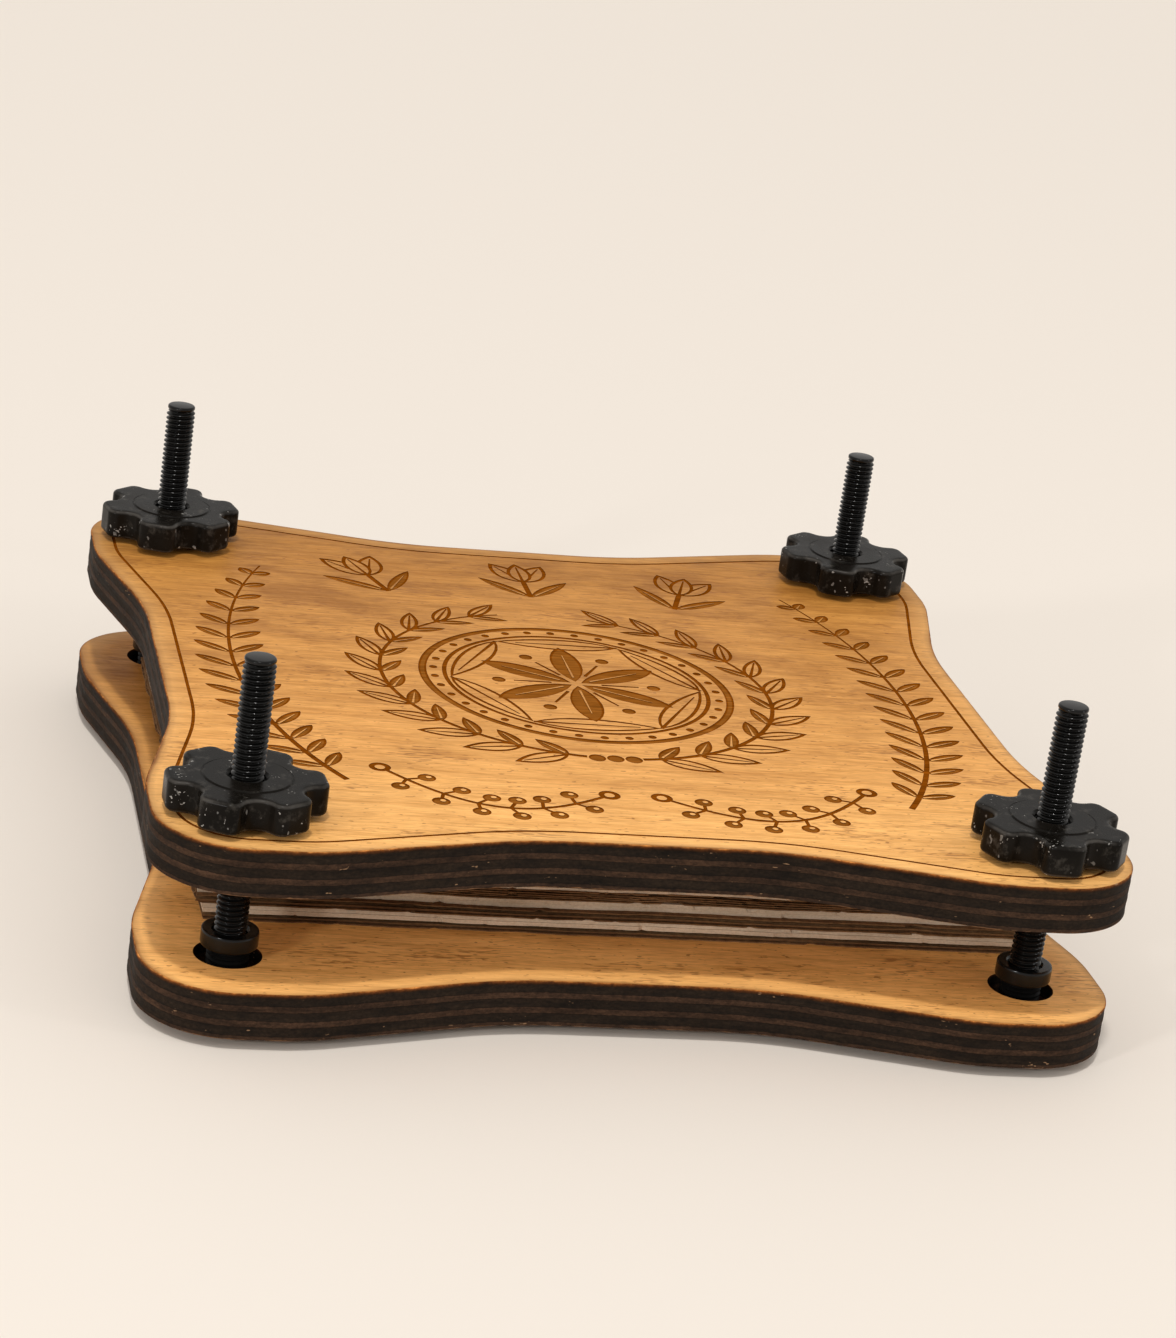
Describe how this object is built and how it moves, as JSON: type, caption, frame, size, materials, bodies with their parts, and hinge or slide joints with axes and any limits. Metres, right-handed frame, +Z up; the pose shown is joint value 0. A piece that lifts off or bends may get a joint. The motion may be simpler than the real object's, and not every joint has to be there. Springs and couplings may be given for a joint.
{
  "type": "flower press",
  "caption": "Square wooden flower press: two wavy-edged plywood boards on threaded posts with star knobs, squeezing a stack of corrugated card and blotting paper.",
  "frame": {"origin": "middle of the plane on which the four bolt heads stand", "axes": "+Z up along the posts, -Y towards the front edge, +X to the right when seen from the front"},
  "size_m": [0.183, 0.183, 0.068],
  "materials": {
    "birch_ply": "oiled birch face, laser-charred edge",
    "black_steel": "black oxide, lightly oiled",
    "black_nylon": "satin moulded plastic, scuffed edges",
    "kraft_card": "uncoated brown corrugated card",
    "blotting_paper": "soft uncoated white"
  },
  "bodies": {
    "base": {"lower_board": "birch_ply", "bolt_front_left": "black_steel", "bolt_front_right": "black_steel", "bolt_back_left": "black_steel", "bolt_back_right": "black_steel", "collar_nut_front_left": "black_steel", "collar_nut_front_right": "black_steel", "collar_nut_back_left": "black_steel", "collar_nut_back_right": "black_steel", "card_1": "kraft_card", "blotter_1": "blotting_paper", "card_2": "kraft_card", "blotter_2": "blotting_paper", "card_3": "kraft_card", "card_4": "kraft_card", "blotter_3": "blotting_paper", "card_5": "kraft_card", "blotter_4": "blotting_paper", "card_6": "kraft_card", "blotter_5": "blotting_paper", "card_7": "kraft_card"},
    "pressing_board": {"upper_board": "birch_ply"},
    "knob_front_left": {"star_knob_front_left": "black_nylon", "knob_bush_front_left": "black_steel"},
    "knob_front_right": {"star_knob_front_right": "black_nylon", "knob_bush_front_right": "black_steel"},
    "knob_back_left": {"star_knob_back_left": "black_nylon", "knob_bush_back_left": "black_steel"},
    "knob_back_right": {"star_knob_back_right": "black_nylon", "knob_bush_back_right": "black_steel"}
  },
  "joints": [
    {"name": "board_lift", "type": "slide", "parent": "base", "child": "pressing_board", "axis": [0, 0, 1], "range_m": [0, 0.022]},
    {"name": "knob_front_left_turn", "type": "hinge", "parent": "pressing_board", "child": "knob_front_left", "pos_m": [-0.075, -0.075, 0.0425], "axis": [0, 0, 1], "range_deg": [0, 7920.1]},
    {"name": "knob_front_right_turn", "type": "hinge", "parent": "pressing_board", "child": "knob_front_right", "pos_m": [0.075, -0.075, 0.0425], "axis": [0, 0, 1], "range_deg": [0, 7920.1]},
    {"name": "knob_back_left_turn", "type": "hinge", "parent": "pressing_board", "child": "knob_back_left", "pos_m": [-0.075, 0.075, 0.0425], "axis": [0, 0, 1], "range_deg": [0, 7920.1]},
    {"name": "knob_back_right_turn", "type": "hinge", "parent": "pressing_board", "child": "knob_back_right", "pos_m": [0.075, 0.075, 0.0425], "axis": [0, 0, 1], "range_deg": [0, 7920.1]}
  ],
  "couplings": [
    {"joint": "knob_front_left_turn", "follows": "board_lift", "rad_per_m": 6283.2},
    {"joint": "knob_front_right_turn", "follows": "board_lift", "rad_per_m": 6283.2},
    {"joint": "knob_back_left_turn", "follows": "board_lift", "rad_per_m": 6283.2},
    {"joint": "knob_back_right_turn", "follows": "board_lift", "rad_per_m": 6283.2}
  ]
}
